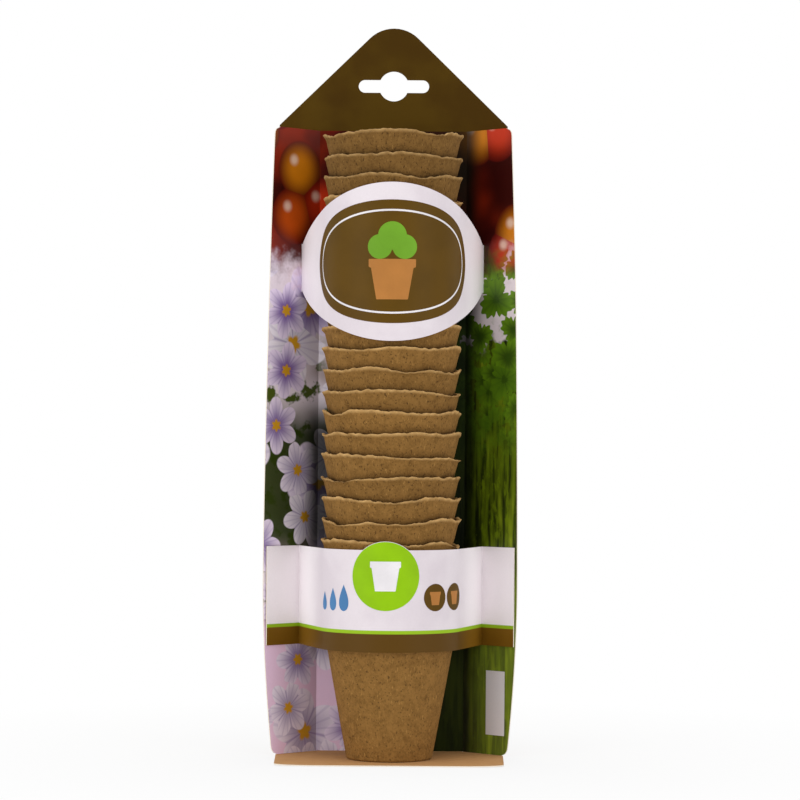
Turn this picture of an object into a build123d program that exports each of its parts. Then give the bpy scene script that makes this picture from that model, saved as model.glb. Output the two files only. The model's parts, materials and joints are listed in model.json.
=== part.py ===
from build123d import *
import math
import os

# A stack of nested moulded-fibre pots in a folded card carrier: millimetres, +Z up, front towards -Y.
# The origin lies on the stack's axis, in the underside of the base flap.

# Pots
pot_count = 24
pot_height = 57.0
pot_base_radius = 18.4
pot_lip_height = 3.5
pot_lip_flare = 1.5
pot_taper_angle = 10.3
pot_wall = 1.36
pot_floor = 1.8
pot_base_round = 2.0
pot_inner_round = 1.5
pot_lip_round = 0.45
pot_flare_round = 5.0
nest_gap = 0.28

# Card sheet and back panel
card = 0.5
stack_to_card = 0.3
stack_headroom = 5.3
back_half_width = 32.3

# Header with its hanging slot
header_half_width = 50.2
header_shoulder = 2.4
header_side_angle = 44.2
header_tip_radius = 15.2
header_corner_radius = 0.5
slot_length = 31.0
slot_height = 5.6
slot_hole_diameter = 13.1
slot_rise = 19.7

# Wings
wing_angle = 45.0
wing_bottom_gap = 0.3
wing_top_overhang = 0.9
wing_bow = 4.9
wing_bow_rise = 73.7
wing_foot_inset = 0.4
wing_foot_radius = 4.0
wing_top_radius = 3.0

# Base flap
flap_depth = 61.0
flap_side_room = 0.3
flap_shoulder_inset = 0.2
flap_front_inset = 1.0
flap_corner_radius = 2.5

# Front band with its round badge
band_bottom = 48.0
band_height = 43.0
band_crease_reach = 10.9
band_edge_margin = 0.4
badge_radius = 14.7
badge_drop = 11.0
badge_offset = -2.0

# Oval label
label_centre_drop = 60.8
label_half_height = 33.4
label_crease_reach = 9.5
label_end_margin = 2.1
label_tab_height = 20.8
label_tab_length = 7.0
label_slit_room = 0.25

cut_overrun = 5.0

# Places worked out from the sizes above
taper = math.tan(math.radians(pot_taper_angle))
wall_across = pot_wall / math.cos(math.radians(pot_taper_angle))
pot_lip_radius = pot_base_radius + pot_height * taper + pot_lip_flare
nest_pitch = (wall_across + nest_gap) / taper
stack_top = card + (pot_count - 1) * nest_pitch + pot_height
card_top = stack_top + stack_headroom
back_front = pot_lip_radius + stack_to_card
back_rear = back_front + card
strap_radius = pot_lip_radius + stack_to_card
wing_bottom = card + wing_bottom_gap
wing_height = card_top - wing_bottom
wing_turn = math.radians(wing_angle)
wing_along = Vector(math.cos(wing_turn), -math.sin(wing_turn))
wing_out = Vector(math.sin(wing_turn), math.cos(wing_turn))
wing_top_width = (header_half_width + wing_top_overhang - back_half_width) / math.cos(wing_turn)
wing_foot_width = wing_top_width - wing_foot_inset
wing_widest = wing_top_width + wing_bow
flap_shoulder_half_width = header_half_width - flap_shoulder_inset
flap_front_half_width = flap_shoulder_half_width - flap_front_inset
label_crease_half_width = back_half_width + label_crease_reach * math.cos(wing_turn)
label_half_width = label_crease_half_width + label_end_margin
label_centre_rise = card_top - label_centre_drop
badge_rise = band_height - badge_drop
fold_front = Vector(back_half_width, back_front)
fold_rear = fold_front + Vector(card * math.tan(wing_turn / 2), card)


def mirrored(points):
    return [Vector(-point.X, point.Y) for point in reversed(points)]


def wing_place(along, out):
    return fold_front + wing_along * along + wing_out * out


def pot_solid(bottom):
    lip_start = pot_height - pot_lip_height
    outer_lip = pot_base_radius + lip_start * taper
    inner_foot = pot_base_radius - wall_across + pot_floor * taper
    corners = [
        Vector(0, 0),
        Vector(pot_base_radius, 0),
        Vector(outer_lip, lip_start),
        Vector(pot_lip_radius, pot_height),
        Vector(pot_lip_radius - wall_across, pot_height),
        Vector(outer_lip - wall_across, lip_start),
        Vector(inner_foot, pot_floor),
        Vector(0, pot_floor),
    ]
    rounds = {
        1: pot_base_round,
        2: pot_flare_round,
        3: pot_lip_round,
        4: pot_lip_round,
        5: pot_flare_round,
        6: pot_inner_round,
    }
    section = make_face(Polyline(*corners, close=True))
    for corner, radius in rounds.items():
        section = fillet(section.vertices().sort_by_distance(corners[corner])[0], radius)
    return Pos(0, 0, bottom) * revolve(Plane.XZ * section, Axis.Z)


def upright_plate(outline, front, rear):
    return extrude(Plane.XZ.offset(-rear) * outline, rear - front)


def hang_slot():
    slot = Pos(0, card_top + slot_rise) * SlotOverall(slot_length, slot_height)
    hole = Pos(0, card_top + slot_rise) * Circle(slot_hole_diameter / 2)
    return slot + hole


def header_outline():
    side_rise = header_half_width * math.tan(math.radians(header_side_angle))
    shoulder = card_top + header_shoulder
    side = [Vector(header_half_width, card_top), Vector(header_half_width, shoulder)]
    tip = Vector(0, shoulder + side_rise)
    outline = make_face(Polyline(*side, tip, *mirrored(side), close=True))
    outline = fillet(outline.vertices().sort_by(Axis.Y)[-1], header_tip_radius)
    corners = outline.vertices().sort_by(Axis.X)
    return fillet(corners[:2] + corners[-2:], header_corner_radius)


def back_card():
    section = [fold_front, fold_rear]
    panel = make_face(Polyline(*section, *mirrored(section), close=True))
    panel = Pos(0, 0, card) * extrude(panel, card_top - card)
    header = upright_plate(header_outline() - hang_slot(), back_front, back_rear)
    return panel + header


def wing_outline():
    foot_corner = (wing_foot_width, wing_bottom)
    top_corner = (wing_top_width, card_top)
    edge = Spline(foot_corner, (wing_widest, wing_bottom + wing_bow_rise), top_corner)
    rest = Polyline(top_corner, (-card, card_top), (-card, wing_bottom), foot_corner)
    outline = make_face([edge, rest])
    foot = outline.vertices().sort_by_distance(Vector(*foot_corner))[0]
    outline = fillet(foot, wing_foot_radius)
    top = outline.vertices().sort_by_distance(Vector(*top_corner))[0]
    return fillet(top, wing_top_radius)


def label_slit():
    crossing = strap_crossing(label_crease_reach)
    middle = (crossing["front"] + crossing["rear"]) / 2
    half = crossing["width"] / 2 + label_slit_room
    along = (middle - fold_front).dot(wing_along)
    return Pos(along, label_centre_rise) * Rectangle(2 * half, label_tab_height + 2 * label_slit_room)


def right_wing():
    reach = wing_widest + cut_overrun
    section = [fold_front, wing_place(reach, 0), wing_place(reach, card), fold_rear]
    blank = Pos(0, 0, wing_bottom) * extrude(make_face(Polyline(*section, close=True)), wing_height)
    across = Plane(
        origin=(fold_front.X, fold_front.Y, 0),
        x_dir=(wing_along.X, wing_along.Y, 0),
        z_dir=(-wing_out.X, -wing_out.Y, 0),
    )
    outline = wing_outline() - label_slit()
    trim = extrude(across.offset(-card - cut_overrun) * outline, card + 2 * cut_overrun)
    return blank & trim


def base_flap():
    rear_half = back_half_width - flap_side_room
    front = back_rear - flap_depth
    shoulder = back_rear - (flap_shoulder_half_width - rear_half)
    side = [
        Vector(rear_half, back_rear),
        Vector(flap_shoulder_half_width, shoulder),
        Vector(flap_front_half_width, front),
    ]
    outline = make_face(Polyline(*side, *mirrored(side), close=True))
    corners = outline.vertices().sort_by(Axis.Y)[:2]
    return extrude(fillet(corners, flap_corner_radius), card)


def tangent_normal(point, radius):
    # Direction from the stack's axis to where a line from the point touches the circle in front.
    heading = math.atan2(point.X, -point.Y)
    touch = heading - math.acos(radius / math.hypot(point.X, point.Y))
    return Vector(math.sin(touch), -math.cos(touch))


def line_meet(first_normal, first_reach, second_normal, second_reach):
    # The point whose reach along each of two normals is given.
    cross = first_normal.X * second_normal.Y - first_normal.Y * second_normal.X
    x = (first_reach * second_normal.Y - second_reach * first_normal.Y) / cross
    y = (second_reach * first_normal.X - first_reach * second_normal.X) / cross
    return Vector(x, y)


def strap_crossing(reach_along):
    # Where a strap that runs tangent to the stack passes through the thickness of a wing.
    normal = tangent_normal(wing_place(reach_along, 0), strap_radius)
    front_reach = fold_front.dot(wing_out)
    rear_reach = front_reach + card
    points = {
        "front": line_meet(wing_out, front_reach, normal, strap_radius),
        "rear": line_meet(wing_out, rear_reach, normal, strap_radius + card),
    }
    spread = [
        line_meet(wing_out, reach, normal, radius).dot(wing_along)
        for reach in (front_reach, rear_reach)
        for radius in (strap_radius, strap_radius + card)
    ]
    points["width"] = max(spread) - min(spread)
    return points


def strap_face(inner, outer, normal):
    # A closed section from the points of one half, ending where its straight run meets the arc.
    inner_touch = normal * strap_radius
    outer_touch = normal * (strap_radius + card)
    inner_half = [*inner, inner_touch]
    outer_half = [*outer, outer_touch]
    inner_left = mirrored(inner_half)
    outer_left = mirrored(outer_half)
    return make_face(
        [
            Polyline(*inner_half),
            ThreePointArc(inner_touch, (0, -strap_radius), inner_left[0]),
            Polyline(*inner_left),
            Line(inner_left[-1], outer_left[-1]),
            Polyline(*outer_left),
            ThreePointArc(outer_left[0], (0, -strap_radius - card), outer_touch),
            Polyline(*outer_half),
            Line(outer_half[0], inner_half[0]),
        ]
    )


def strap_solid(section, outline, bottom, height):
    blank = Pos(0, 0, bottom) * extrude(section, height)
    reach = strap_radius + card + cut_overrun
    return blank & upright_plate(outline, -reach, reach)


def wing_width_at(rise):
    # Reach of the wing's bowed outer edge at a height, read off the outline itself.
    level = Line((0, rise), (wing_widest + cut_overrun, rise))
    return (wing_outline() & level).bounding_box().max.X


def front_band():
    crease = wing_place(band_crease_reach, 0)
    normal = tangent_normal(crease, strap_radius)
    end = min(wing_width_at(band_bottom), wing_width_at(band_bottom + band_height)) - band_edge_margin
    crease_front = line_meet(wing_out, fold_front.dot(wing_out) - card, normal, strap_radius + card)
    inner = [wing_place(end, 0), crease]
    outer = [wing_place(end, -card), crease_front]
    section = strap_face(inner, outer, normal)
    badge_top = badge_rise + badge_radius
    half_reach = back_half_width + wing_widest + cut_overrun
    strip = Pos(0, band_bottom + band_height / 2) * Rectangle(2 * half_reach, band_height)
    badge = Pos(badge_offset, band_bottom + badge_rise) * Circle(badge_radius)
    return strap_solid(section, strip + badge, band_bottom, badge_top + cut_overrun)


def oval_label():
    normal = tangent_normal(wing_place(label_crease_reach, 0), strap_radius)
    rear_reach = fold_front.dot(wing_out) + card
    bend_front = line_meet(wing_out, rear_reach, normal, strap_radius + card)
    bend_rear = line_meet(wing_out, rear_reach + card, normal, strap_radius)
    tab_end = wing_along * label_tab_length
    inner = [bend_rear + tab_end, bend_rear]
    outer = [bend_front + tab_end, bend_front]
    section = strap_face(inner, outer, normal)
    oval = Pos(0, label_centre_rise) * Ellipse(label_half_width, label_half_height)
    tab_reach = label_crease_half_width + label_tab_length + cut_overrun
    tabs = Rectangle(2 * tab_reach, label_tab_height)
    tabs -= Rectangle(2 * label_crease_half_width, label_tab_height)
    outline = oval & Rectangle(2 * label_crease_half_width, 2 * card_top)
    outline += Pos(0, label_centre_rise) * tabs
    return strap_solid(section, outline, 0, card_top)


def build():
    wing = right_wing()
    pieces = {
        "back_card": back_card(),
        "right_wing": wing,
        "left_wing": mirror(wing, Plane.YZ),
        "base_flap": base_flap(),
        "front_band": front_band(),
        "oval_label": oval_label(),
    }
    for number in range(pot_count):
        pieces[f"pot_{number + 1:02d}"] = pot_solid(card + number * nest_pitch)
    return pieces


os.makedirs("parts", exist_ok=True)
for name, piece in build().items():
    export_step(piece, os.path.join("parts", f"{name}.step"))
    print(name, round(piece.volume, 1), "mm3")
print("stack top", round(stack_top, 2), "card top", round(card_top, 2), "pitch", round(nest_pitch, 3))
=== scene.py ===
import json
import math
import bpy
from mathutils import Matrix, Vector, noise


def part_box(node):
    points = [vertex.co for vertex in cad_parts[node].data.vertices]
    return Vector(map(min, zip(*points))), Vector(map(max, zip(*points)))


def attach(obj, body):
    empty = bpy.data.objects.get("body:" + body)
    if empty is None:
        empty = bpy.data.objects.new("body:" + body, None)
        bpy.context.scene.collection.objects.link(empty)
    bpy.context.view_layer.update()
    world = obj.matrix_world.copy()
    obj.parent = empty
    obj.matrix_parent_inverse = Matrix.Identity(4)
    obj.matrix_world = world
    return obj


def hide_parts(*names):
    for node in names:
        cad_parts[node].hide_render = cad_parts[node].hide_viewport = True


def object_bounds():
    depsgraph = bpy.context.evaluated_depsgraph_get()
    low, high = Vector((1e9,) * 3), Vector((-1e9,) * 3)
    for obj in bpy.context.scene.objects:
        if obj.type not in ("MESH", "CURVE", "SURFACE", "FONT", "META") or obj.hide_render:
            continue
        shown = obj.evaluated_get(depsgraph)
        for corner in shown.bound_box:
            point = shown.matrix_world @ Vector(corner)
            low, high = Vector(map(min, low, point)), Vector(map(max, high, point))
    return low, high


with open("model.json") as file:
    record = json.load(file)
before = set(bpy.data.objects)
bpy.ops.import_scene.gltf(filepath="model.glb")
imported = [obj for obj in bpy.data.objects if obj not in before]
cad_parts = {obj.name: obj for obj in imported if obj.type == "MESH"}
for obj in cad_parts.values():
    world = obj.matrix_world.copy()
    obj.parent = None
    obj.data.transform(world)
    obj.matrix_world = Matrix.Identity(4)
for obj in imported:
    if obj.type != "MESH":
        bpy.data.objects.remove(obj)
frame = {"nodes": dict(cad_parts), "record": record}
cadLow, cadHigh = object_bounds()
mm = 0.001
potNames = sorted(name for name in frame["nodes"] if name.startswith("pot_"))
bodies = frame["record"]["behaviour"]["bodies"]
bodyOf = {node: body for body, nodes in bodies.items() for node in nodes}
print("frame loaded:", len(frame["nodes"]), "nodes,", len(potNames), "pots")


def toLinear(hexText):
    shares = [int(hexText[i:i + 2], 16) / 255 for i in (1, 3, 5)]
    return [v / 12.92 if v <= 0.04045 else ((v + 0.055) / 1.055) ** 2.4 for v in shares] + [1.0]


def addNode(mat, kind, sockets=None, **settings):
    tree = mat.node_tree
    node = tree.nodes.new(kind)
    for key, value in settings.items():
        setattr(node, key, value)
    for key, value in (sockets or {}).items():
        if isinstance(value, bpy.types.Node):
            value = next(socket for socket in value.outputs if socket.enabled)  # a node gives its first output
        if isinstance(value, bpy.types.NodeSocket):
            tree.links.new(value, node.inputs[key])
        else:
            node.inputs[key].default_value = toLinear(value) if isinstance(value, str) else value
    return node


def newMaterial(name):
    mat = bpy.data.materials.new(name)
    mat.use_nodes = True
    mat.node_tree.nodes.clear()
    return mat


def closeMaterial(mat, colour, relief, finish):
    bump = addNode(mat, "ShaderNodeBump", {"Height": relief, "Distance": finish["bumpMm"] * mm,
                                           "Strength": finish["bump"]})
    shader = addNode(mat, "ShaderNodeBsdfPrincipled", {
        "Base Color": colour, "Roughness": finish["roughness"], "Specular IOR Level": finish["shine"],
        "Normal": bump})
    addNode(mat, "ShaderNodeOutputMaterial", {"Surface": shader})
    return mat


# noise as coarse as a real size in mm, stretched and shifted
def grain(mat, coords, sizeMm, detail, roughness=0.55, stretch=(1, 1, 1), shift=(0, 0, 0)):
    scale = [share / (sizeMm * mm) for share in stretch]
    place = addNode(mat, "ShaderNodeMapping", {"Vector": coords, "Scale": scale, "Location": shift})
    return addNode(mat, "ShaderNodeTexNoise", {"Vector": place, "Scale": 1.0, "Detail": detail,
                                               "Roughness": roughness})


# one coat of paint, laid where a pattern goes from start to full
def coat(mat, under, paint, pattern, start, full, most=1.0):
    share = addNode(mat, "ShaderNodeMapRange", {0: pattern, 1: start, 2: full, 4: most},
                    interpolation_type="SMOOTHSTEP")
    return addNode(mat, "ShaderNodeMix", {0: share, 6: under, 7: paint}, data_type="RGBA")


# moulded wood fibre: pressed wet on a mould, so matt, mottled and full of dark flecks and pale hairs,
# which are drawn coarser than the real fibres so that they show
fibre = {"base": "#7B572A", "light": "#8D6836", "dark": "#60431D", "fleck": "#3C2610", "hair": "#AE8549",
         "edge": "#D8AF74", "baseShare": 0.35, "mottleMm": 4.0, "pulpMm": 0.9, "crumbMm": 1.8, "hairMm": 0.6,
         "fleckMm": 0.75, "roughness": 0.92, "shine": 0.12, "bumpMm": 0.35, "bump": 0.9}


def mouldedFibre():
    mat = newMaterial("mouldedWoodFibre")
    coords = addNode(mat, "ShaderNodeTexCoord").outputs["Object"]
    toneAndShade = addNode(mat, "ShaderNodeAttribute", attribute_name="toneAndShade").outputs["Fac"]
    wearAndHighlight = addNode(mat, "ShaderNodeAttribute", attribute_name="rimWearAndHighlight").outputs["Fac"]
    mottle = grain(mat, coords, fibre["mottleMm"], 4.0, 0.6)
    pulp = grain(mat, coords, fibre["pulpMm"], 2.0, 0.7)
    crumb = grain(mat, coords, fibre["crumbMm"], 3.0, 0.7, (1, 1, 0.8), (2, 8, 5))
    hair = grain(mat, coords, fibre["hairMm"], 1.0, 0.5, (1, 1, 0.25), (3, 1, 7))
    fleck = grain(mat, coords, fibre["fleckMm"], 1.0, 0.5, (1, 1, 0.7), (9, 4, 2))
    colour = coat(mat, fibre["dark"], fibre["light"], mottle, 0.22, 0.72)
    colour = addNode(mat, "ShaderNodeMix", {0: fibre["baseShare"], 6: colour, 7: fibre["base"]}, data_type="RGBA")
    colour = coat(mat, colour, fibre["light"], pulp, 0.3, 0.7, 0.6)
    colour = coat(mat, colour, fibre["dark"], crumb, 0.52, 0.68, 0.5)
    colour = coat(mat, colour, fibre["hair"], hair, 0.66, 0.74, 0.55)
    colour = coat(mat, colour, fibre["fleck"], fleck, 0.61, 0.72, 0.7)
    # rim lighter: worn edge and painted highlight
    colour = addNode(mat, "ShaderNodeMix", {0: wearAndHighlight, 6: colour, 7: fibre["edge"]}, data_type="RGBA")
    # tone: random per pot, with painted shade on the top pots and in the crevice above each rim
    shade = addNode(mat, "ShaderNodeCombineColor", {0: toneAndShade, 1: toneAndShade, 2: toneAndShade})
    colour = addNode(mat, "ShaderNodeMix", {0: 1.0, 6: colour, 7: shade}, data_type="RGBA", blend_type="MULTIPLY")
    relief = addNode(mat, "ShaderNodeMath", {0: pulp, 1: 0.7}, operation="MULTIPLY")
    relief = addNode(mat, "ShaderNodeMath", {0: hair, 1: 0.6, 2: relief}, operation="MULTIPLY_ADD")
    return closeMaterial(mat, colour, relief, fibre)


# printed card: white-coated board with a satin varnish, faint fibre under the ink
card = {"toothMm": 0.9, "toothShade": 0.07, "roughness": 0.48, "shine": 0.25, "bumpMm": 0.03, "bump": 0.25}


def cardInk(mat, coords, colour, **finish):
    tooth = grain(mat, coords, card["toothMm"], 2.0, 0.6)
    share = addNode(mat, "ShaderNodeMath", {0: tooth, 1: card["toothShade"]}, operation="MULTIPLY")
    colour = addNode(mat, "ShaderNodeMix", {0: share, 6: colour, 7: "#000000"}, data_type="RGBA")
    return closeMaterial(mat, colour, tooth, {**card, **finish})


# plain ink: one colour, laid a little unevenly
plain = {"washMm": 14.0, "washShade": 0.12, "shine": 0.1}


def plainInk(name, hexText):
    mat = newMaterial(name)
    coords = addNode(mat, "ShaderNodeTexCoord").outputs["Object"]
    wash = grain(mat, coords, plain["washMm"], 2.0)
    colour = coat(mat, hexText, "#000000", wash, 0.3, 0.7, plain["washShade"])
    return cardInk(mat, coords, colour, shine=plain["shine"])


# bare kraft board: brown unbleached liner, short pale fibres and small dark specks
kraft = {"base": "#BF8F5C", "pale": "#CBA172", "cloud": "#8E6437", "speck": "#7A5530", "streakMm": 0.8,
         "cloudMm": 9.0, "speckMm": 0.7, "roughness": 0.85, "shine": 0.15, "bumpMm": 0.04, "bump": 0.35}


def kraftColour(mat, coords):
    streak = grain(mat, coords, kraft["streakMm"], 4.0, 0.65, (0.6, 1, 0.6))
    cloud = grain(mat, coords, kraft["cloudMm"], 2.0)
    speck = grain(mat, coords, kraft["speckMm"], 1.0, 0.5, (1, 1, 1), (5, 2, 8))
    colour = coat(mat, kraft["base"], kraft["pale"], streak, 0.4, 0.75, 0.5)
    colour = coat(mat, colour, kraft["cloud"], cloud, 0.4, 0.7, 0.12)
    return coat(mat, colour, kraft["speck"], speck, 0.7, 0.76, 0.5), streak


def kraftBoard():
    mat = newMaterial("bareKraftBoard")
    coords = addNode(mat, "ShaderNodeTexCoord").outputs["Object"]
    colour, streak = kraftColour(mat, coords)
    return closeMaterial(mat, colour, streak, kraft)


# cut card edge: the pale core of the board, a little fuzzy
core = {"dull": "#D8CBB6", "pale": "#EFE7DA", "fuzzMm": 0.6, "roughness": 0.9, "shine": 0.15, "bumpMm": 0.05,
        "bump": 0.6}


def cardCore():
    mat = newMaterial("cutCardCore")
    coords = addNode(mat, "ShaderNodeTexCoord").outputs["Object"]
    fuzz = grain(mat, coords, core["fuzzMm"], 2.0)
    colour = addNode(mat, "ShaderNodeMix", {0: fuzz, 6: core["dull"], 7: core["pale"]}, data_type="RGBA")
    return closeMaterial(mat, colour, fuzz, core)


# garden print: soft blooms, berries and grass laid out by height, drawn in the sheet's flat distances
garden = {"leafMm": 9.0, "hazeMm": 34.0, "tuftMm": 22.0, "bladeMm": 2.6, "featherMm": 3.0, "bloomMm": 26.0,
          "berryMm": 27.0, "leafTeeth": 0.04, "roughness": 0.42}
zonesMm = {"seamHalf": 4.0, "seamSway": 40.0, "topSway": 30.0, "skySway": 70.0,  # where the fields meet
           "shadeFrom": 75.0, "shadeFull": 98.0, "shadeFade": 138.0, "shadeEnd": 158.0,  # dark leaves, left
           "lilacFull": 50.0, "lilacEnd": 70.0, "lawnFull": 50.0, "lawnEnd": 80.0,  # pale feet, left and right
           "leafFrom": 120.0, "leafFull": 172.0, "skyFrom": 170.0, "skyFull": 190.0,
           "berryFrom": 205.0, "berryFull": 222.0, "foldDark": 33.0, "foldClear": 44.0,
           "blankAcross": 51.5, "blankUp": 23.0, "blankHalfWidth": 5.5, "blankHalfHeight": 14.0}
zone = {key: value * mm for key, value in zonesMm.items()}
lilac = {"deep": "#6C469E", "pale": "#F2E2FA", "other": "#FFFBFF", "heart": "#D9A024"}
herb = {"deep": "#2C420A", "pale": "#6E981A", "other": "#507611", "heart": "#33500A"}


# one spot in each cell of the flat print: distance and offset from its middle, and its own random colour
def scattered(mat, flat, sizeMm, shift, stray):
    scale = 1 / (sizeMm * mm)
    place = addNode(mat, "ShaderNodeMapping", {"Vector": flat, "Scale": (scale, scale, scale), "Location": shift})
    cell = addNode(mat, "ShaderNodeTexVoronoi", {"Vector": place, "Scale": 1.0, "Randomness": stray},
                   voronoi_dimensions="2D")
    offset = addNode(mat, "ShaderNodeVectorMath", {0: place, 1: cell.outputs["Position"]}, operation="SUBTRACT")
    pick = addNode(mat, "ShaderNodeSeparateColor", {0: cell.outputs["Color"]}).outputs
    return cell.outputs["Distance"], offset, pick


def blossoms(mat, flat, sizeMm, petals, colours, shift, teeth=0.0):
    distance, offset, pick = scattered(mat, flat, sizeMm, shift, 0.7)
    axes = addNode(mat, "ShaderNodeSeparateXYZ", {0: offset}).outputs
    angle = addNode(mat, "ShaderNodeMath", {0: axes[0], 1: axes[1]}, operation="ARCTAN2")
    turn = addNode(mat, "ShaderNodeMath", {0: pick[0], 1: 6.28, 2: angle}, operation="MULTIPLY_ADD")
    lobe = addNode(mat, "ShaderNodeMath", {0: turn, 1: petals / 2}, operation="MULTIPLY")
    lobe = addNode(mat, "ShaderNodeMath", {0: lobe}, operation="COSINE")
    lobe = addNode(mat, "ShaderNodeMath", {0: lobe}, operation="ABSOLUTE")
    saw = addNode(mat, "ShaderNodeMath", {0: turn, 1: petals * 5}, operation="MULTIPLY")
    saw = addNode(mat, "ShaderNodeMath", {0: saw}, operation="COSINE")
    reach = addNode(mat, "ShaderNodeMath", {0: lobe, 1: 0.2, 2: 0.3}, operation="MULTIPLY_ADD")
    reach = addNode(mat, "ShaderNodeMath", {0: saw, 1: teeth, 2: reach}, operation="MULTIPLY_ADD")
    share = addNode(mat, "ShaderNodeMath", {0: distance, 1: reach}, operation="DIVIDE")
    mask = addNode(mat, "ShaderNodeMapRange", {0: share, 1: 1.0, 2: 0.94}, interpolation_type="SMOOTHSTEP")
    other = addNode(mat, "ShaderNodeMath", {0: pick[1], 1: 0.7}, operation="MULTIPLY")
    vein = addNode(mat, "ShaderNodeMath", {0: turn, 1: petals * 4}, operation="MULTIPLY")
    vein = addNode(mat, "ShaderNodeMath", {0: vein}, operation="COSINE")
    petal = coat(mat, colours["deep"], colours["pale"], share, 0.1, 1.0)
    petal = addNode(mat, "ShaderNodeMix", {0: other, 6: petal, 7: colours["other"]}, data_type="RGBA")
    petal = coat(mat, petal, colours["deep"], vein, 0.4, 1.0, 0.18)
    petal = coat(mat, petal, colours["deep"], lobe, 0.35, 0.0, 0.45)  # dark seams between petals
    return mask, coat(mat, petal, colours["heart"], share, 0.26, 0.16)


def berries(mat, flat, sizeMm, shift):
    distance, offset, pick = scattered(mat, flat, sizeMm, shift, 0.75)
    glint = addNode(mat, "ShaderNodeVectorMath", {0: offset, 1: (-0.13, 0.15, 0)}, operation="DISTANCE")
    skin = coat(mat, "#C8330F", "#D9820F", pick[0], 0.55, 0.6)
    skin = coat(mat, skin, "#5A0B06", distance, 0.12, 0.5)  # darker towards its outline
    skin = coat(mat, skin, "#F6D9C4", glint, 0.13, 0.02, 0.75)
    mask = addNode(mat, "ShaderNodeMapRange", {0: distance, 1: 0.48, 2: 0.44}, interpolation_type="SMOOTHSTEP")
    return mask, skin


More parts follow.
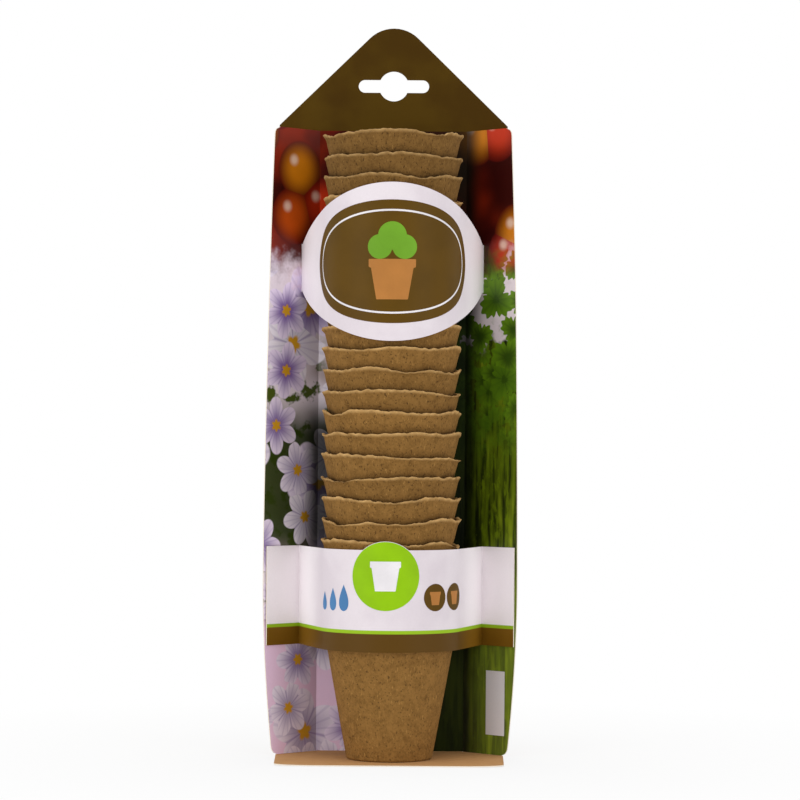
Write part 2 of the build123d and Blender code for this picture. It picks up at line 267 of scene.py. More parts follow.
def gardenPrint(mat, flat):
    axes = addNode(mat, "ShaderNodeSeparateXYZ", {0: flat}).outputs
    leaf = grain(mat, flat, garden["leafMm"], 3.0, 0.6)
    haze = grain(mat, flat, garden["hazeMm"], 2.0)
    tuft = grain(mat, flat, garden["tuftMm"], 2.0)

    # ragged borders between the fields
    leafSway = addNode(mat, "ShaderNodeMath", {0: leaf, 1: 0.5}, operation="SUBTRACT")
    hazeSway = addNode(mat, "ShaderNodeMath", {0: haze, 1: 0.5}, operation="SUBTRACT")
    seam = addNode(mat, "ShaderNodeMath", {0: leafSway, 1: zone["seamSway"], 2: axes[0]},
                   operation="MULTIPLY_ADD")
    ragged = addNode(mat, "ShaderNodeMath", {0: leafSway, 1: zone["topSway"], 2: axes[1]},
                     operation="MULTIPLY_ADD")
    spread = addNode(mat, "ShaderNodeMath", {0: hazeSway, 1: zone["skySway"], 2: ragged},
                     operation="MULTIPLY_ADD")
    right = addNode(mat, "ShaderNodeMapRange", {0: seam, 1: -zone["seamHalf"], 2: zone["seamHalf"]},
                    interpolation_type="SMOOTHSTEP")
    sky = addNode(mat, "ShaderNodeMapRange", {0: spread, 1: zone["skyFrom"], 2: zone["skyFull"]},
                  interpolation_type="SMOOTHSTEP")
    rise = addNode(mat, "ShaderNodeMapRange", {0: axes[1], 1: zone["shadeFrom"], 2: zone["shadeFull"]},
                   interpolation_type="SMOOTHSTEP")
    fall = addNode(mat, "ShaderNodeMapRange", {0: axes[1], 1: zone["shadeEnd"], 2: zone["shadeFade"]},
                   interpolation_type="SMOOTHSTEP")
    middle = addNode(mat, "ShaderNodeMath", {0: rise, 1: fall}, operation="MULTIPLY")

    # left side: pale sky with lilac blooms over dark leaves
    shade = addNode(mat, "ShaderNodeMath", {0: middle, 1: 0.96}, operation="MULTIPLY")
    left = coat(mat, "#F2E6F0", "#B3A09E", haze, 0.38, 0.62)
    left = coat(mat, left, "#4A5A18", leaf, 0.52, 0.62)
    left = addNode(mat, "ShaderNodeMix", {0: shade, 6: left, 7: "#2F3F0C"}, data_type="RGBA")
    left = coat(mat, left, "#F7D6F2", axes[1], zone["lilacEnd"], zone["lilacFull"])
    left = addNode(mat, "ShaderNodeMix", {0: sky, 6: left, 7: "#F0E3EC"}, data_type="RGBA")
    for size, petals, shift in ((1.5, 5.0, (0.3, 0.1, 0)), (1.0, 6.0, (5.2, 2.6, 0))):
        mask, bloom = blossoms(mat, flat, garden["bloomMm"] * size, petals, lilac, shift)
        left = addNode(mat, "ShaderNodeMix", {0: mask, 6: left, 7: bloom}, data_type="RGBA")

    # right side: standing grass in many greens, lobed leaves above it
    blade = grain(mat, flat, garden["bladeMm"], 3.0, 0.6, (1, 0.07, 1))
    wide = grain(mat, flat, garden["bladeMm"] * 2.2, 2.0, 0.5, (1, 0.1, 1), (4, 1, 0))
    feather = grain(mat, flat, garden["featherMm"], 4.0, 0.7, (1, 0.3, 1), (6, 3, 0))
    fine = addNode(mat, "ShaderNodeMapRange", {0: feather, 1: 0.5, 2: 0.62}, interpolation_type="SMOOTHSTEP")
    clump = addNode(mat, "ShaderNodeMapRange", {0: tuft, 1: 0.42, 2: 0.6, 4: 0.8}, interpolation_type="SMOOTHSTEP")
    frond = addNode(mat, "ShaderNodeMath", {0: fine, 1: clump}, operation="MULTIPLY")
    skyBlades = addNode(mat, "ShaderNodeMath", {0: wide, 1: 0.8, 2: sky}, operation="MULTIPLY_ADD")
    grass = coat(mat, "#1C2305", "#62750E", blade, 0.35, 0.62)
    grass = coat(mat, grass, "#8FA120", wide, 0.56, 0.68)
    grass = coat(mat, grass, "#384608", tuft, 0.5, 0.7, 0.6)
    grass = addNode(mat, "ShaderNodeMix", {0: frond, 6: grass, 7: "#768C12"}, data_type="RGBA")
    grass = coat(mat, grass, "#F0E4E8", skyBlades, 0.7, 1.2)
    grass = coat(mat, grass, "#93A640", axes[1], zone["lawnEnd"], zone["lawnFull"], 0.3)
    high = addNode(mat, "ShaderNodeMapRange", {0: axes[1], 1: zone["leafFrom"], 2: zone["leafFull"]},
                   interpolation_type="SMOOTHSTEP")
    low = addNode(mat, "ShaderNodeMath", {0: 1.0, 1: sky}, operation="SUBTRACT")
    underSky = addNode(mat, "ShaderNodeMath", {0: high, 1: low}, operation="MULTIPLY")
    layers = ((1.5, (3.1, 7.3, 0), underSky), (1.7, (5.4, 2.2, 0), high), (2.2, (1.7, 0.4, 0), high))
    for size, shift, where in layers:
        mask, leaves = blossoms(mat, flat, garden["leafMm"] * size, 3.0, herb, shift, garden["leafTeeth"])
        mask = addNode(mat, "ShaderNodeMath", {0: mask, 1: where}, operation="MULTIPLY")
        grass = addNode(mat, "ShaderNodeMix", {0: mask, 6: grass, 7: leaves}, data_type="RGBA")
    colour = addNode(mat, "ShaderNodeMix", {0: right, 6: left, 7: grass}, data_type="RGBA")

    # top: warm berries over a dark ground
    top = addNode(mat, "ShaderNodeMapRange", {0: ragged, 1: zone["berryFrom"], 2: zone["berryFull"]},
                  interpolation_type="SMOOTHSTEP")
    ground = coat(mat, "#3A0704", "#8C2408", haze, 0.35, 0.65)
    mask, skin = berries(mat, flat, garden["berryMm"], (0.2, 0.65, 0))
    ground = addNode(mat, "ShaderNodeMix", {0: mask, 6: ground, 7: skin}, data_type="RGBA")
    colour = addNode(mat, "ShaderNodeMix", {0: top, 6: colour, 7: ground}, data_type="RGBA")

    # painted shade towards the folds, strongest where the print is dark
    aside = addNode(mat, "ShaderNodeMath", {0: axes[0]}, operation="ABSOLUTE")
    foldShade = addNode(mat, "ShaderNodeMapRange", {0: aside, 1: zone["foldClear"], 2: zone["foldDark"]},
                   interpolation_type="SMOOTHSTEP")
    depth = addNode(mat, "ShaderNodeMath", {0: right, 1: middle}, operation="MAXIMUM")
    depth = addNode(mat, "ShaderNodeMath", {0: depth, 1: 0.82, 2: 0.1}, operation="MULTIPLY_ADD")
    foldShade = addNode(mat, "ShaderNodeMath", {0: foldShade, 1: depth}, operation="MULTIPLY")
    colour = addNode(mat, "ShaderNodeMix", {0: foldShade, 6: colour, 7: "#0C1006"}, data_type="RGBA")

    # one blank panel low on the right
    across = addNode(mat, "ShaderNodeMath", {0: axes[0], 1: zone["blankAcross"], 2: zone["blankHalfWidth"]},
                     operation="COMPARE")
    up = addNode(mat, "ShaderNodeMath", {0: axes[1], 1: zone["blankUp"], 2: zone["blankHalfHeight"]},
                 operation="COMPARE")
    inside = addNode(mat, "ShaderNodeMath", {0: across, 1: up}, operation="MULTIPLY")
    return addNode(mat, "ShaderNodeMix", {0: inside, 6: colour, 7: "#E6E2E4"}, data_type="RGBA")


def wingPrint():
    mat = newMaterial("gardenPrintedCard")
    flat = addNode(mat, "ShaderNodeUVMap", uv_map="UVMap").outputs[0]
    coords = addNode(mat, "ShaderNodeTexCoord").outputs["Object"]
    return cardInk(mat, coords, gardenPrint(mat, flat), roughness=garden["roughness"])


# back card: garden print between the wings, plain brown ink on the header, kraft behind
header = {"brown": "#432D04", "worn": "#4E3807", "washMm": 30.0, "edgeMm": 0.2, "skin": (0.08, 0.12),
          "roughness": 0.65, "shine": 0.06}


def backPrint(low, high, foldTop):
    mat = newMaterial("brownHeaderCard")
    coords = addNode(mat, "ShaderNodeTexCoord").outputs["Object"]
    axes = addNode(mat, "ShaderNodeSeparateXYZ", {0: coords}).outputs
    flat = addNode(mat, "ShaderNodeCombineXYZ", {0: axes[0], 1: axes[2], 2: 0.0})
    wash = grain(mat, coords, header["washMm"], 3.0)
    brown = coat(mat, header["brown"], header["worn"], wash, 0.35, 0.65)
    edge = header["edgeMm"] * mm
    colour = coat(mat, gardenPrint(mat, flat), brown, axes[2], foldTop - edge, foldTop + edge)
    start, full = [(high.y - low.y) * share for share in header["skin"]]  # ink and liner are skins on the core
    colour = coat(mat, colour, core["dull"], axes[1], low.y + start, low.y + full)
    colour = coat(mat, colour, kraftColour(mat, coords)[0], axes[1], high.y - full, high.y - start)
    return cardInk(mat, coords, colour, roughness=header["roughness"], shine=header["shine"])


# white straps: coated white board; the ends, which lie on the wings, are painted lighter than the front, painted
# light that makes up for the shade the wings get
white = {"plain": "#E0D7DC", "dull": "#D8CED4", "end": "#F8F1F4", "washMm": 20.0, "labelLitEnds": (28.0, 72.0),
         "bandLitEnds": (36.0, 62.0), "bandRoughness": 0.5, "bandShine": 0.12}


def strapWhite(mat, coords, aside, ends):
    wash = grain(mat, coords, white["washMm"], 2.0)
    colour = coat(mat, white["plain"], white["dull"], wash, 0.35, 0.65)
    # painted light: lighter towards the ends that lie on the wings
    return coat(mat, colour, white["end"], aside, ends[0] * mm, ends[1] * mm)


def labelPrint():
    mat = newMaterial("whiteLabelCard")
    flat = addNode(mat, "ShaderNodeUVMap", uv_map="UVMap")
    coords = addNode(mat, "ShaderNodeTexCoord").outputs["Object"]
    axes = addNode(mat, "ShaderNodeSeparateXYZ", {0: flat}).outputs
    aside = addNode(mat, "ShaderNodeMath", {0: axes[0]}, operation="ABSOLUTE")
    return cardInk(mat, coords, strapWhite(mat, coords, aside, white["labelLitEnds"]))


# band: white ink over a green line and a brown foot
stripe = {"green": "#93B91D", "brown": "#573B08", "brownLitEnd": "#775312", "greenTop": 9.1, "brownTop": 7.6,
          "soft": 0.25}


def bandPrint(bottom):
    mat = newMaterial("whiteBandCard")
    flat = addNode(mat, "ShaderNodeUVMap", uv_map="UVMap")
    coords = addNode(mat, "ShaderNodeTexCoord").outputs["Object"]
    axes = addNode(mat, "ShaderNodeSeparateXYZ", {0: flat}).outputs
    aside = addNode(mat, "ShaderNodeMath", {0: axes[0]}, operation="ABSOLUTE")
    height = addNode(mat, "ShaderNodeMath", {0: axes[1], 1: bottom}, operation="SUBTRACT")
    start, full = [end * mm for end in white["bandLitEnds"]]
    # painted light: the brown foot lighter on the ends too
    brown = coat(mat, stripe["brown"], stripe["brownLitEnd"], aside, start, full)
    colour = strapWhite(mat, coords, aside, white["bandLitEnds"])
    for paint, top in ((stripe["green"], stripe["greenTop"]), (brown, stripe["brownTop"])):
        colour = coat(mat, colour, paint, height, (top + stripe["soft"]) * mm, top * mm)
    return cardInk(mat, coords, colour, roughness=white["bandRoughness"], shine=white["bandShine"])


coreMat = cardCore()
kraftMat = kraftBoard()
fibreMat = mouldedFibre()
print("materials made")


def takeOver(name):
    piece = bpy.context.object
    piece.name = name
    piece.data.name = name
    return piece


def bareSelection():
    if bpy.context.object and bpy.context.object.mode != "OBJECT":
        bpy.ops.object.mode_set(mode="OBJECT")
    bpy.ops.object.select_all(action="DESELECT")


def pickOnly(piece):
    bareSelection()
    piece.select_set(True)
    bpy.context.view_layer.objects.active = piece


def smoothShade(piece, degrees):
    pickOnly(piece)
    bpy.ops.object.shade_smooth_by_angle(angle=math.radians(degrees))


# one clean pot, turned ring by ring, then copied and roughened
pot = {"segments": 168, "baseRadius": 18.4, "taper": math.tan(math.radians(10.3)), "wall": 1.38, "floor": 1.8,
       "footRound": 1.2, "footRings": 5, "wallRings": 8, "fineFrom": 2.5, "fineRings": 12, "flare": 0.55,
       "lipHeight": 2.5, "lipRings": 6, "lipCurl": 1.15, "lipRound": 0.15,
       "rimWave": 2.4, "waveReach": 9.0, "rimFray": 0.6, "dent": 1.5, "dents": 4,
       "lipWave": 0.8, "oval": 0.14, "skin": 0.06, "skinMm": 2.5, "flatFloor": 17.0, "wearHighlightReach": 1.4,
       "nestShadeDepth": 0.68, "nestShadeAbove": 1.1, "nestShadeBelow": 2.2, "topShade": 0.76, "topCount": 3, "seed": 24, "smooth": 50}
potLow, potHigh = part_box(potNames[0])
potHeight = (potHigh.z - potLow.z) / mm
lipRadius = (potHigh.x - potLow.x) / 2 / mm
nestRise = potHeight - (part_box(potNames[1])[0].z - potLow.z) / mm


def potProfile():
    foot, wall, floor = pot["footRound"], pot["wall"], pot["floor"]
    rings = []
    for step in range(pot["footRings"] + 1):
        turn = math.radians(90 * step / pot["footRings"])
        rings.append((pot["baseRadius"] - foot * (1 - math.sin(turn)) + foot * pot["taper"],
                      foot * (1 - math.cos(turn))))
    fineFrom = nestRise - pot["fineFrom"]
    lipFrom = potHeight - pot["lipHeight"]
    heights = []
    for start, end, count in ((foot, fineFrom, pot["wallRings"]), (fineFrom, lipFrom, pot["fineRings"])):
        heights += [start + (end - start) * (step + 1) / count for step in range(count)]
    for height in heights:
        flare = pot["flare"] * max(0.0, (height - fineFrom) / (lipFrom - fineFrom))
        rings.append((pot["baseRadius"] + height * pot["taper"] + flare, height))
    lipStart = rings[-1][0]
    for step in range(1, pot["lipRings"] + 1):
        share = step / pot["lipRings"]
        rings.append((lipStart + (lipRadius - lipStart) * share ** pot["lipCurl"],
                      lipFrom + (pot["lipHeight"] - pot["lipRound"]) * share))
    outer = rings[pot["footRings"] + 1:-1]
    rings += [(lipRadius - 0.35 * wall, potHeight), (lipRadius - 0.75 * wall, potHeight - 0.12)]
    rings += [(radius - wall, height) for radius, height in reversed(outer) if height > floor + 2.5]
    inside = pot["baseRadius"] - wall
    rings += [(inside + 0.1, floor + 1.2), (inside - 0.5, floor + 0.35), (inside - 1.6, floor)]
    return rings + [(inside * share, floor) for share in (0.6, 0.3)]


def turnPot():
    rings = potProfile()
    bareSelection()
    bpy.ops.mesh.primitive_circle_add(vertices=pot["segments"], radius=rings[0][0] * mm, location=(0, 0, potLow.z))
    piece = takeOver("potBlank")
    bpy.ops.object.transform_apply(location=True, rotation=True, scale=True)
    bpy.ops.object.mode_set(mode="EDIT")
    bpy.ops.mesh.select_all(action="SELECT")
    for (fromRadius, fromHeight), (radius, height) in zip(rings, rings[1:]):
        bpy.ops.mesh.extrude_region_move(TRANSFORM_OT_translate={"value": (0, 0, (height - fromHeight) * mm)})
        share = radius / fromRadius
        bpy.ops.transform.resize(value=(share, share, 1), center_override=(0, 0, potLow.z + height * mm))
    bpy.ops.mesh.edge_face_add()
    bpy.ops.mesh.select_all(action="DESELECT")
    bpy.ops.mesh.select_mode(type="EDGE")
    bpy.ops.mesh.select_non_manifold()  # the open ring under the foot
    bpy.ops.mesh.edge_face_add()
    bpy.ops.mesh.select_all(action="SELECT")
    bpy.ops.mesh.normals_make_consistent(inside=False)
    bpy.ops.object.mode_set(mode="OBJECT")
    return piece


potRims = []  # seed and dents of each rim, lowest pot first


def rimShare(height, reach):
    return max(0.0, min(1.0, (height - potHeight + reach) / reach))


def rimFray(rim, ring, turn):
    seed, dents = rim
    drop = pot["rimFray"] * (noise.noise(ring * 9 + seed) + 0.6 * noise.noise(ring * 27 + seed))
    for centre, width, depth in dents:
        away = math.atan2(math.sin(turn - centre), math.cos(turn - centre)) / width
        drop -= pot["dent"] * depth * math.exp(-away * away)
    return drop


def rimWave(rim, ring):
    return pot["rimWave"] * noise.noise(ring * 1.3 + rim[0])


# painted shade: a dark ring in the crevice just above where the rim of the pot below touches, outside only
def nestShade(radius, height, ring, turn):
    if len(potRims) < 2 or radius / mm <= pot["baseRadius"] + height * pot["taper"] - pot["wall"] / 2:
        return 0.0
    above = height - nestRise - rimWave(potRims[-2], ring) - rimFray(potRims[-2], ring, turn)
    return pot["nestShadeDepth"] * math.exp(-abs(above) / (pot["nestShadeAbove"] if above > 0 else pot["nestShadeBelow"]))


def roughenPot(piece, number, lift):
    seed = Vector((number * 7.31, number * 3.17, number * 1.93))
    dents = [(noise.random() * 2 * math.pi, 0.16 + 0.2 * noise.random(), noise.random())
             for _ in range(pot["dents"])]
    shade = 0.93 + 0.14 * noise.random()
    # painted shade: the top pots darker, standing in for the shade under the header
    if number >= len(potNames) - pot["topCount"]:
        shade *= pot["topShade"]
    potRims.append((seed, dents))
    wearAndHighlight = piece.data.attributes.new("rimWearAndHighlight", "FLOAT", "POINT")
    # tone per vertex: random per pot, with painted shade on the top pots and in the crevices
    toneAndShade = piece.data.attributes.new("toneAndShade", "FLOAT", "POINT")
    for index, vertex in enumerate(piece.data.vertices):
        co = vertex.co
        radius = math.hypot(co.x, co.y)
        height = (co.z - potLow.z) / mm
        turn = math.atan2(co.y, co.x)
        ring = Vector((math.cos(turn), math.sin(turn), 0))
        lip = rimShare(height, pot["lipHeight"])
        drop = rimWave(potRims[-1], ring) * rimShare(height, pot["waveReach"]) ** 2
        drop += rimFray(potRims[-1], ring, turn) * lip
        swell = pot["oval"] * noise.noise(ring * 0.9 + seed * 2) * height / potHeight
        swell += pot["lipWave"] * noise.noise(ring * 2.6 + seed * 3) * lip
        swell += pot["skin"] * noise.noise(co / (pot["skinMm"] * mm) + seed)
        onFloor = height <= pot["floor"] + 1 and radius <= pot["flatFloor"] * mm
        grown = 1 if onFloor else 1 + swell * mm / radius
        # rim lighter: worn edge and painted highlight, uneven round the ring
        worn = 0.75 + 0.5 * noise.noise(ring * 14 + seed)
        wearAndHighlight.data[index].value = rimShare(height, pot["wearHighlightReach"]) * worn
        # painted shade in the crevice above the pot below, times the pot's tone
        toneAndShade.data[index].value = shade * (1 - nestShade(radius, height, ring, turn))
        vertex.co = Vector((co.x * grown, co.y * grown, co.z + drop * mm + lift))


noise.seed_set(pot["seed"])
potBlank = turnPot()
for number, name in enumerate(potNames):
    piece = potBlank.copy()
    piece.data = potBlank.data.copy()
    bpy.context.collection.objects.link(piece)
    piece.name = piece.data.name = "fibrePot" + name[-2:]
    roughenPot(piece, number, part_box(name)[0].z - potLow.z)
    piece.data.materials.append(fibreMat)
    smoothShade(piece, pot["smooth"])
    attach(piece, bodyOf[name])
    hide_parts(name)
pickOnly(potBlank)
bpy.ops.object.delete()
print("pots turned and roughened:", len(potNames))

# the card sheet: every panel is laid out flat, then folded along its path
sheet = {"card": 0.5, "backHalf": 32.3, "wingAngle": 45.0, "creaseSoft": 3, "step": 0.3, "arcSteps": 24,
         "smooth": 30}
backLow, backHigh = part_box("back_card")
wingLow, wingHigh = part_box("right_wing")
wingTurn = math.radians(sheet["wingAngle"])
wingAlong = Vector((math.cos(wingTurn), -math.sin(wingTurn)))
wingOut = Vector((math.sin(wingTurn), math.cos(wingTurn)))
foldFront = Vector((sheet["backHalf"], backLow.y / mm))


# even steps along a run of corners, softened a little at each crease
def densePath(points):
    dense = []
    for start, end in zip(points, points[1:]):
        count = max(1, round((end - start).length / sheet["step"]))
        dense += [start.lerp(end, step / count) for step in range(count)]
    dense.append(points[-1])
    for _ in range(sheet["creaseSoft"]):
        inner = [(a + b * 2 + c) / 4 for a, b, c in zip(dense, dense[1:], dense[2:])]
        dense = [dense[0]] + inner + [dense[-1]]
    reach = [0.0]
    for start, end in zip(dense, dense[1:]):
        reach.append(reach[-1] + (end - start).length)
    return dense, [value - reach[-1] / 2 for value in reach]  # distances run from the middle


def alongPath(path, distance):
    points, reach = path
    low, high = 0, len(reach) - 1
    while high - low > 1:
        middle = (low + high) // 2
        low, high = (middle, high) if reach[middle] <= distance else (low, middle)
    share = (distance - reach[low]) / (reach[high] - reach[low])
    place = points[low].lerp(points[high], share)
    run = (points[high] - points[low]).normalized()
    return place, Vector((run.y, -run.x))


# right half of a strap's middle line: arc round the stack, straight run, crease, tail on the wing
def strapCorners(reach, radius, tailAlong, tailOut):
    crease = foldFront + wingAlong * reach + wingOut * tailOut
    heading = math.atan2(crease.x, -crease.y)
    touch = heading - math.acos(radius / crease.length)
    turns = [touch * step / sheet["arcSteps"] for step in range(sheet["arcSteps"] + 1)]
    arc = [Vector((radius * math.sin(turn), -radius * math.cos(turn))) for turn in turns]
    return arc + [crease, crease + wingAlong * tailAlong]


def flatGrid(name, columns, rows, layOut):
    bareSelection()
    bpy.ops.mesh.primitive_grid_add(x_subdivisions=columns, y_subdivisions=rows, size=1.0)
    piece = takeOver(name)
    mesh = piece.data
    flats = {}
    for vertex in mesh.vertices:
        vertex.co, flats[vertex.index] = layOut(vertex.co.x + 0.5, vertex.co.y + 0.5)
    for loop in mesh.loops:
        mesh.uv_layers[0].data[loop.index].uv = flats[loop.vertex_index]
    return piece


def finishCard(piece, faces, body, node):
    for mat in faces:  # front, cut edge, back
        piece.data.materials.append(mat)
    solid = piece.modifiers.new("thickness", "SOLIDIFY")
    solid.thickness = sheet["card"] * mm
    solid.offset = 0.0
    solid.material_offset = 2
    solid.material_offset_rim = 1
    pickOnly(piece)
    bpy.ops.object.modifier_apply(modifier=solid.name)
    smoothShade(piece, sheet["smooth"])
    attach(piece, body)
    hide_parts(node)


# how far a rounded corner cuts in, this near to its end
def cornerCut(near, radius):
    if near >= radius:
        return 0.0
    return radius - math.sqrt(max(0.0, radius ** 2 - (radius - near) ** 2))


# wings: bowed outer edge, rounded corners, a slight belly from the pull of the straps
wing = {"foot": 26.2, "widest": 31.5, "widestRise": 73.7, "top": 26.6, "footBow": 1.8, "topBow": 1.7,
        "footRound": 4.0, "topRound": 3.0, "footDrop": 0.7, "belly": 0.42, "ripple": 0.5, "ripples": 9,
        "endRows": 0.4, "columns": 26, "rows": 150}
wingBottom, wingTop = wingLow.z / mm - wing["footDrop"], wingHigh.z / mm


def wingWidth(height):
    peak = wingBottom + wing["widestRise"]
    if height < peak:
        narrow = (wing["widest"] - wing["foot"]) * ((peak - height) / (peak - wingBottom)) ** wing["footBow"]
    else:
        narrow = (wing["widest"] - wing["top"]) * ((height - peak) / (wingTop - peak)) ** wing["topBow"]
    rounding = cornerCut(height - wingBottom, wing["footRound"]) + cornerCut(wingTop - height, wing["topRound"])
    return wing["widest"] - narrow - rounding


def wingSheet(side):
    def layOut(across, up):
        eased = 0.5 - 0.5 * math.cos(math.pi * up)  # more rows near the rounded ends
        rise = (1 - wing["endRows"]) * up + wing["endRows"] * eased
        height = wingBottom + (wingTop - wingBottom) * rise
        along = wingWidth(height) * across
        ripple = 1 + wing["ripple"] * math.sin(wing["ripples"] * up + side)
        belly = wing["belly"] * math.sin(math.pi * up) * across ** 2 * ripple
        spot = foldFront + wingAlong * along + wingOut * (sheet["card"] / 2 + belly)
        flat = Vector((side * (sheet["backHalf"] + along) * mm, height * mm))
        return Vector((side * spot.x * mm, spot.y * mm, height * mm)), flat
    return layOut


wingMat = wingPrint()
for side, title, name in ((1, "rightWingCard", "right_wing"), (-1, "leftWingCard", "left_wing")):
    piece = flatGrid(title, wing["columns"], wing["rows"], wingSheet(side))
    if side < 0:
        piece.data.flip_normals()
    finishCard(piece, [wingMat, coreMat, kraftMat], "carrier", name)
print("wings folded")

# base flap: bare kraft, flaring along the wings, then straight forward
flap = {"rearHalf": 31.4, "shoulderHalf": 49.4, "frontHalf": 48.4, "cornerRound": 4.0, "curl": 0.5,
        "curlFrom": 30.0, "curlRun": 20.0, "columns": 60, "rows": 44}
flapLow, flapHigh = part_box("base_flap")


def flapHalf(depth, length):
    run = flap["shoulderHalf"] - flap["rearHalf"]
    half = flap["rearHalf"] + min(depth, run)
    if depth > run:
        half -= (flap["shoulderHalf"] - flap["frontHalf"]) * (depth - run) / (length - run)
    return half - cornerCut(length - depth, flap["cornerRound"])


def flapSheet(across, up):
    length = (flapHigh.y - flapLow.y) / mm
    depth = (1 - up) * length
    x = (across * 2 - 1) * flapHalf(depth, length)
    outward = max(0.0, (abs(x) - flap["curlFrom"]) / flap["curlRun"])
    curl = flap["curl"] * outward ** 2 * max(0.0, depth / length) ** 2
    z = (flapLow.z + flapHigh.z) / 2 / mm + curl
    return Vector((x * mm, (flapHigh.y / mm - depth) * mm, z * mm)), Vector((x * mm, depth * mm))


piece = flatGrid("baseFlapCard", flap["columns"], flap["rows"], flapSheet)
finishCard(piece, [kraftMat, coreMat, kraftMat], "flap", "base_flap")
print("base flap laid")

# front band: glued to the wings, creased, then tight round the stack, with a round tab for the badge
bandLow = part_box("front_band")[0]
bandBottom = bandLow.z / mm
strap = {"radius": -bandLow.y / mm - sheet["card"] / 2, "columns": 220, "rows": 30}
bandCut = {"crease": 10.9, "margin": 0.4, "height": 43.0, "badgeRadius": 14.7, "badgeRise": 32.0, "badgeAt": -2.0}


def fullPath(reach, tailAlong, tailOut):
    right = strapCorners(reach, strap["radius"], tailAlong, tailOut)
    left = [Vector((-p.x, p.y)) for p in reversed(right[1:])]
    return densePath(left + right)


bandReach = min(wingWidth(bandBottom), wingWidth(bandBottom + bandCut["height"])) - bandCut["margin"]
bandPath = fullPath(bandCut["crease"], bandReach - bandCut["crease"], -sheet["card"] / 2)


def strapSpot(path, distance, height, lift=0.0):
    place, out = alongPath(path, distance)
    spot = place + out * lift
    return Vector((spot.x * mm, spot.y * mm, height * mm))


def bandSheet(across, up):
    distance = (across * 2 - 1) * bandPath[1][-1]
    top = bandCut["height"]
    near = (distance - bandCut["badgeAt"]) / bandCut["badgeRadius"]
    if abs(near) < 1:
        top = max(top, bandCut["badgeRise"] + bandCut["badgeRadius"] * math.sqrt(1 - near * near))
    height = bandBottom + top * up
    return strapSpot(bandPath, distance, height), Vector((distance * mm, height * mm))


piece = flatGrid("frontBandCard", strap["columns"], strap["rows"], bandSheet)
finishCard(piece, [bandPrint(bandBottom * mm), coreMat, kraftMat], "carrier", "front_band")
print("front band wrapped")

# oval label: an oval strap whose ends slip through the wings and lie behind them
labelCut = {"crease": 9.5, "endMargin": 2.1, "halfHeight": 33.4, "tab": 20.8, "tail": 7.0}
labelLow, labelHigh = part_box("oval_label")
labelCentre = (labelLow.z + labelHigh.z) / 2 / mm
labelCrease = sheet["backHalf"] + labelCut["crease"] * math.cos(wingTurn)
labelPath = fullPath(labelCut["crease"] + sheet["card"], labelCut["tail"], sheet["card"] * 1.5)


def labelHalf(distance):
    x = abs(alongPath(labelPath, distance)[0].x)
    tabHalf = labelCut["tab"] / 2
    if x >= labelCrease or abs(distance) > labelPath[1][-1] - labelCut["tail"]:
        return tabHalf
    share = x / (labelCrease + labelCut["endMargin"])
    return max(tabHalf, labelCut["halfHeight"] * math.sqrt(max(0.0, 1 - share ** 2)))


def labelSheet(across, up):
    distance = (across * 2 - 1) * labelPath[1][-1]
    height = labelCentre + (up * 2 - 1) * labelHalf(distance)
    return strapSpot(labelPath, distance, height), Vector((distance * mm, (height - labelCentre) * mm))


piece = flatGrid("ovalLabelCard", strap["columns"], strap["rows"], labelSheet)
finishCard(piece, [labelPrint(), coreMat, kraftMat], "carrier", "oval_label")
print("oval label wrapped")

# printed shapes: thin ink films that follow the strap they lie on
ink = {"film": 0.03, "points": 120, "ringMm": 1.1, "lift": 0.27, "smooth": 60}
inks = {"brown": plainInk("brownInk", "#5C4108"), "green": plainInk("greenInk", "#8FC10C"),
        "white": plainInk("whiteInk", "#E9E5E8"), "leaf": plainInk("leafGreenInk", "#6FA22B"),
        "clay": plainInk("clayInk", "#B5793C"), "blue": plainInk("blueInk", "#4E7FB0")}


# a closed run of corners walked in even steps
def evenOutline(corners, count):
    ends = corners[1:] + corners[:1]
    lengths = [math.dist(a, b) for a, b in zip(corners, ends)]
    steps, side, gone = [], 0, 0.0
    for index in range(count):
        target = sum(lengths) * index / count
        while target > gone + lengths[side]:
            gone += lengths[side]
            side += 1
        share = (target - gone) / lengths[side]
        steps.append([a + (b - a) * share for a, b in zip(corners[side], ends[side])])
    return steps


def discWeb(name, rings):
    bareSelection()
    bpy.ops.mesh.primitive_circle_add(vertices=ink["points"], radius=1.0)
    piece = takeOver(name)
    bpy.ops.object.mode_set(mode="EDIT")
    bpy.ops.mesh.select_all(action="SELECT")
    for ring in range(rings - 1, 0, -1):
        bpy.ops.mesh.extrude_region_move(TRANSFORM_OT_translate={"value": (0, 0, 0)})
        share = ring / (ring + 1)
        bpy.ops.transform.resize(value=(share, share, 1), center_override=(0, 0, 0))
    bpy.ops.mesh.edge_face_add()
    bpy.ops.mesh.poke()
    bpy.ops.mesh.select_all(action="SELECT")
    bpy.ops.mesh.normals_make_consistent(inside=False)
    bpy.ops.object.mode_set(mode="OBJECT")
    return piece


def printShape(name, path, centre, corners, colour, layer):
    outline = evenOutline(corners, ink["points"])
    widest = max(math.hypot(u, v) for u, v in outline)
    piece = discWeb(name, max(3, math.ceil(widest / ink["ringMm"])))
    lift = ink["lift"] + ink["film"] * layer
    for vertex in piece.data.vertices:
        reach = vertex.co.length
        turn = math.atan2(vertex.co.y, vertex.co.x) / (2 * math.pi)
        u, v = outline[round(turn * ink["points"]) % ink["points"]]
        vertex.co = strapSpot(path, centre[0] + u * reach, centre[1] + v * reach, lift)
    piece.data.update()
    if sum(face.normal.y * face.area for face in piece.data.polygons) > 0:  # the front looks to -y
        piece.data.flip_normals()
    piece.data.materials.append(inks[colour])
    smoothShade(piece, ink["smooth"])
    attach(piece, "carrier")


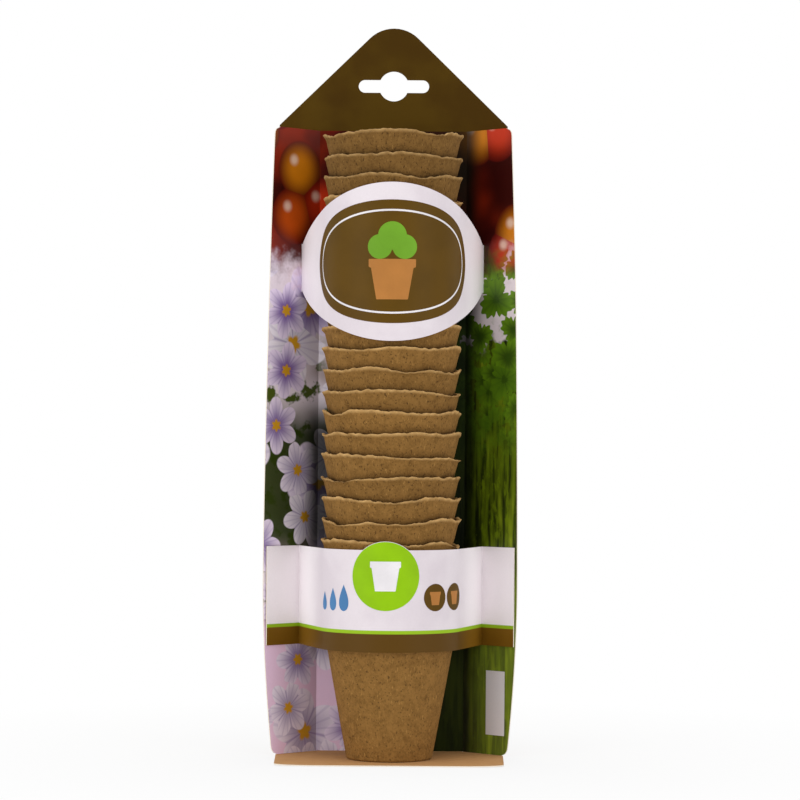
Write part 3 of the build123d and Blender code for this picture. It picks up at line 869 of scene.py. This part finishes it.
def ovalOutline(halfWidth, halfHeight, count=96):
    turns = [2 * math.pi * i / count for i in range(count)]
    return [(halfWidth * math.cos(t), halfHeight * math.sin(t)) for t in turns]


def potOutline(width, height):
    half, foot, neck = width / 2, width / 2 * 0.66, width / 2 * 0.9
    bottom, top, rim = -height / 2, height / 2, height / 2 - height * 0.2
    return [(-foot, bottom), (foot, bottom), (neck, rim), (half, rim), (half, top), (-half, top), (-half, rim),
            (-neck, rim)]


def dropOutline(size, count=36):
    turns = [2 * math.pi * i / count for i in range(count)]
    return [(size * 0.62 * math.sin(t) * math.sin(t / 2) ** 1.2, size * math.cos(t)) for t in turns]


labelArt = {"oval": (44.0, 26.0), "line": (39.5, 22.0), "field": (38.6, 21.2), "pot": (20, 17), "potDrop": 7.5,
            "shrubs": ((-5.2, 6.2, 5.2), (5.2, 6.2, 5.2), (0, 10.8, 6.0))}  # across, up, radius
labelMiddle = (0, labelCentre)
printShape("labelOval", labelPath, labelMiddle, ovalOutline(*labelArt["oval"]), "brown", 1)
printShape("labelLine", labelPath, labelMiddle, ovalOutline(*labelArt["line"]), "white", 2)
printShape("labelField", labelPath, labelMiddle, ovalOutline(*labelArt["field"]), "brown", 3)
place = (0, labelCentre - labelArt["potDrop"])
printShape("labelPot", labelPath, place, potOutline(*labelArt["pot"]), "clay", 4)
for count, (u, v, radius) in enumerate(labelArt["shrubs"]):
    place = (u, labelCentre + v)
    printShape(f"labelShrub{count}", labelPath, place, ovalOutline(radius, radius, 40), "leaf", 4 + count)

bandArt = {"disc": (14.5, 14.5), "badgePot": (13, 12.5), "drops": ((-34, 4.0), (-27.5, 4.8), (-21, 5.6)),
           "dropRise": 17.0, "soilAt": (20.5, 33), "soil": (5.8, 5.8), "soilRise": 23.0, "seedPot": (5.8, 5.6),
           "seedRise": 22.6}
badgeMiddle = (bandCut["badgeAt"], bandBottom + bandCut["badgeRise"])
printShape("badgeDisc", bandPath, badgeMiddle, ovalOutline(*bandArt["disc"]), "green", 1)
printShape("badgePot", bandPath, badgeMiddle, potOutline(*bandArt["badgePot"]), "white", 2)
for count, (u, size) in enumerate(bandArt["drops"]):
    place = (u, bandBottom + bandArt["dropRise"] + size)
    printShape(f"bandDrop{count}", bandPath, place, dropOutline(size), "blue", 1)
for count, u in enumerate(bandArt["soilAt"]):
    soilPlace, seedPlace = (u, bandBottom + bandArt["soilRise"]), (u, bandBottom + bandArt["seedRise"])
    printShape(f"bandSoil{count}", bandPath, soilPlace, ovalOutline(*bandArt["soil"], 48), "brown", 1)
    printShape(f"bandSeed{count}", bandPath, seedPlace, potOutline(*bandArt["seedPot"]), "clay", 2)
print("prints laid")

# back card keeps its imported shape
frame["nodes"]["back_card"].data.materials.clear()
frame["nodes"]["back_card"].data.materials.append(backPrint(backLow, backHigh, wingHigh.z))

# stage: pale floor and white surround that still take the shadow
studio = {"floorHalf": 3.0, "floorDrop": 0.05, "floorWhite": 0.8, "fadeFrom": 0.06, "fadeTo": 0.3, "ambient": 0.86}
lamps = {"keyBox": {"place": (-1.2, -1.06, 0.3), "aim": (0, 0, 0.13), "size": (0.9, 0.9), "power": 8.2},
         "fillBox": {"place": (1.2, -1.06, 0.2), "aim": (0, 0, 0.13), "size": (0.8, 0.9), "power": 6.6},
         "topBox": {"place": (0.0, -0.3, 1.4), "aim": (0, 0, 0.1), "size": (0.9, 0.6), "power": 2.5}}


# 1 where the camera sees it, straight, mirrored or through glass
def seenWhite(mat):
    rays = addNode(mat, "ShaderNodeLightPath").outputs
    seen = addNode(mat, "ShaderNodeMath", {0: rays["Is Camera Ray"], 1: rays["Is Glossy Ray"]},
                   operation="MAXIMUM")
    return addNode(mat, "ShaderNodeMath", {0: seen, 1: rays["Is Transmission Ray"]}, operation="MAXIMUM")


bareSelection()
floorHeight = cadLow.z - studio["floorDrop"] * mm
bpy.ops.mesh.primitive_plane_add(size=2 * studio["floorHalf"], location=(0, 0, floorHeight))
floor = takeOver("studioFloor")
floorMat = newMaterial("paleStudioFloor")
coords = addNode(floorMat, "ShaderNodeTexCoord").outputs["Object"]
reach = addNode(floorMat, "ShaderNodeVectorMath", {0: coords}, operation="LENGTH")
fade = addNode(floorMat, "ShaderNodeMapRange", {0: reach, 1: studio["fadeFrom"], 2: studio["fadeTo"],
                                                3: studio["floorWhite"], 4: 1.0})
share = addNode(floorMat, "ShaderNodeMath", {0: seenWhite(floorMat), 1: fade}, operation="MULTIPLY")
matt = addNode(floorMat, "ShaderNodeBsdfDiffuse", {"Color": "#E8E8E8"})
glow = addNode(floorMat, "ShaderNodeEmission", {"Color": "#FFFFFF", "Strength": 1.0})
both = addNode(floorMat, "ShaderNodeMixShader", {0: share, 1: matt, 2: glow})
addNode(floorMat, "ShaderNodeOutputMaterial", {"Surface": both})
floor.data.materials.append(floorMat)

world = bpy.data.worlds.new("whiteStudio")
bpy.context.scene.world = world
world.use_nodes = True
world.node_tree.nodes.clear()
level = addNode(world, "ShaderNodeMapRange", {0: seenWhite(world), 3: studio["ambient"], 4: 1.0})
surround = addNode(world, "ShaderNodeBackground", {"Color": "#FFFFFF", "Strength": level})
addNode(world, "ShaderNodeOutputWorld", {"Surface": surround})

for name, box in lamps.items():
    bareSelection()
    turn = (Vector(box["aim"]) - Vector(box["place"])).to_track_quat("-Z", "Y").to_euler()
    bpy.ops.object.light_add(type="AREA", location=box["place"], rotation=turn)
    lamp = bpy.context.object
    lamp.name = name
    lamp.data.shape = "RECTANGLE"
    lamp.data.size, lamp.data.size_y = box["size"]
    lamp.data.energy = box["power"]

# camera: level, long lens, framed by shift as in the photograph (pixels of an 800 square frame)
photo = {"side": 800, "axisX": 391.3, "horizonY": 438.5, "mmPerPixel": 0.43, "distance": 1300.0, "eye": 138.0,
         "roll": -0.4, "sensor": 36.0}
bareSelection()
aside = (photo["side"] / 2 - photo["axisX"]) * photo["mmPerPixel"]
bpy.ops.object.camera_add(location=(aside * mm, -photo["distance"] * mm, photo["eye"] * mm),
                          rotation=(math.radians(90), math.radians(photo["roll"]), 0))
camera = bpy.context.object
camera.data.sensor_width = photo["sensor"]
camera.data.lens = photo["sensor"] * photo["distance"] / (photo["side"] * photo["mmPerPixel"])
camera.data.shift_y = (photo["horizonY"] - photo["side"] / 2) / photo["side"]
bpy.context.scene.camera = camera
bpy.context.scene.view_settings.view_transform = "Standard"
print("stage, lamps and camera set")
